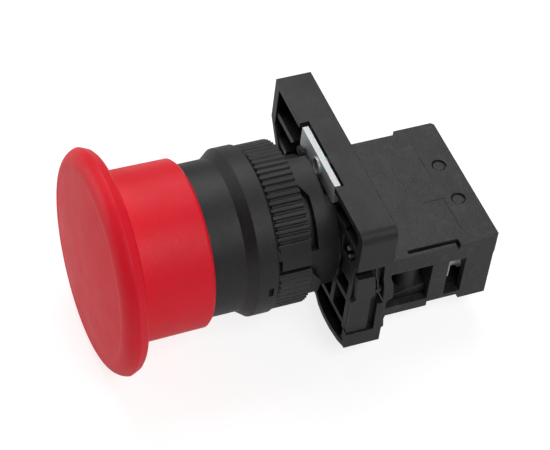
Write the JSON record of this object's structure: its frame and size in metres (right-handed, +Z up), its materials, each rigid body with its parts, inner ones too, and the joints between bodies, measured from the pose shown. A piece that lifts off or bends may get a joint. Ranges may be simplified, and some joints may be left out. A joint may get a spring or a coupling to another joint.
{
  "type": "emergency stop button",
  "caption": "Red mushroom-head emergency stop push-button with panel bushing, ribbed ring nut, clip-fit mounting base, steel clamp plate and a contact block with screw terminals.",
  "frame": {"origin": "on the button's axis, in the plane of the bezel's rear face, where the panel's outer face seats", "axes": "-Y towards the operator, +Y into the cabinet (the button is pressed towards +Y), +X towards the base's latch end, +Z up, towards the base's clamp plate"},
  "size_m": [0.04, 0.0723, 0.04],
  "materials": {
    "red_plastic": "satin moulded red plastic",
    "black_plastic": "satin moulded black plastic",
    "block_plastic": "fine matt texture, black plastic",
    "grey_plastic": "natural moulded plastic, inside the head",
    "seal_rubber": "soft black rubber",
    "zinc_steel": "bright zinc plated steel",
    "spring_steel": "drawn spring wire",
    "contact_brass": "stamped brass strip",
    "contact_silver": "silver alloy contact"
  },
  "bodies": {
    "frame": {"bushing": "black_plastic", "stem_wiper": "seal_rubber", "detent_ring": "spring_steel", "panel_gasket": "seal_rubber", "mounting_base": "black_plastic", "base_pins": "zinc_steel", "latch_spring": "black_plastic", "block_housing": "block_plastic", "block_cover": "block_plastic", "cover_pins": "block_plastic", "plunger_spring": "spring_steel", "fixed_contacts": "contact_silver", "terminal_strip_right": "contact_brass", "terminal_strip_left": "contact_brass"},
    "button": {"mushroom_cap": "red_plastic", "operator_stem": "grey_plastic", "stem_clip": "spring_steel"},
    "carrier": {"block_plunger": "grey_plastic", "bridge_spring": "spring_steel", "contact_bridge": "contact_brass", "moving_contacts": "contact_silver"},
    "washer": {"lock_washer": "zinc_steel"},
    "nut": {"retaining_nut": "black_plastic"},
    "plate": {"clamp_plate": "zinc_steel"},
    "plate_screw": {"clamp_screw": "zinc_steel"},
    "latch": {"release_latch": "black_plastic", "latch_pin": "black_plastic"},
    "saddle_right": {"terminal_saddle_right": "zinc_steel"},
    "saddle_left": {"terminal_saddle_left": "zinc_steel"},
    "wire_screw_right": {"terminal_screw_right": "zinc_steel"},
    "wire_screw_left": {"terminal_screw_left": "zinc_steel"}
  },
  "joints": [
    {"name": "button_push", "type": "slide", "parent": "frame", "child": "button", "axis": [0, 1, 0], "range_m": [0, 0.0055], "deforming": ["detent_ring"]},
    {"name": "contact_travel", "type": "slide", "parent": "frame", "child": "carrier", "axis": [0, 1, 0], "range_m": [0, 0.0055], "stiffness_N_per_m": 300, "springref_m": -0.005, "deforming": ["plunger_spring"]},
    {"name": "washer_slide", "type": "slide", "parent": "frame", "child": "washer", "axis": [0, 1, 0], "range_m": [0, 0.003]},
    {"name": "nut_turn", "type": "hinge", "parent": "washer", "child": "nut", "pos_m": [0, 0, 0], "axis": [0, 1, 0], "range_deg": [0, 720]},
    {"name": "plate_shift", "type": "slide", "parent": "frame", "child": "plate", "axis": [0, 1, 0], "range_m": [-0.0004, 0]},
    {"name": "plate_screw_turn", "type": "hinge", "parent": "frame", "child": "plate_screw", "pos_m": [0, 0.015, 0.0123], "axis": [0, 1, 0], "range_deg": [0, 320]},
    {"name": "latch_slide", "type": "slide", "parent": "frame", "child": "latch", "axis": [0, 0, 1], "range_m": [0, 0.0018], "stiffness_N_per_m": 600, "springref_m": -0.002, "deforming": ["latch_spring"]},
    {"name": "saddle_lift_right", "type": "slide", "parent": "frame", "child": "saddle_right", "axis": [0, 1, 0], "range_m": [0, 0.0018]},
    {"name": "wire_screw_turn_right", "type": "hinge", "parent": "saddle_right", "child": "wire_screw_right", "pos_m": [0.01035, 0.035, -0.0075], "axis": [0, 1, 0], "range_deg": [0, 1080]},
    {"name": "saddle_lift_left", "type": "slide", "parent": "frame", "child": "saddle_left", "axis": [0, 1, 0], "range_m": [0, 0.0018]},
    {"name": "wire_screw_turn_left", "type": "hinge", "parent": "saddle_left", "child": "wire_screw_left", "pos_m": [-0.01035, 0.035, -0.0075], "axis": [0, 1, 0], "range_deg": [0, 1080]}
  ],
  "couplings": [
    {"joint": "contact_travel", "follows": "button_push", "ratio": 1},
    {"joint": "nut_turn", "follows": "washer_slide", "rad_per_m": 4188.8},
    {"joint": "plate_screw_turn", "follows": "plate_shift", "rad_per_m": -13963},
    {"joint": "wire_screw_turn_right", "follows": "saddle_lift_right", "rad_per_m": 10472},
    {"joint": "wire_screw_turn_left", "follows": "saddle_lift_left", "rad_per_m": 10472}
  ]
}
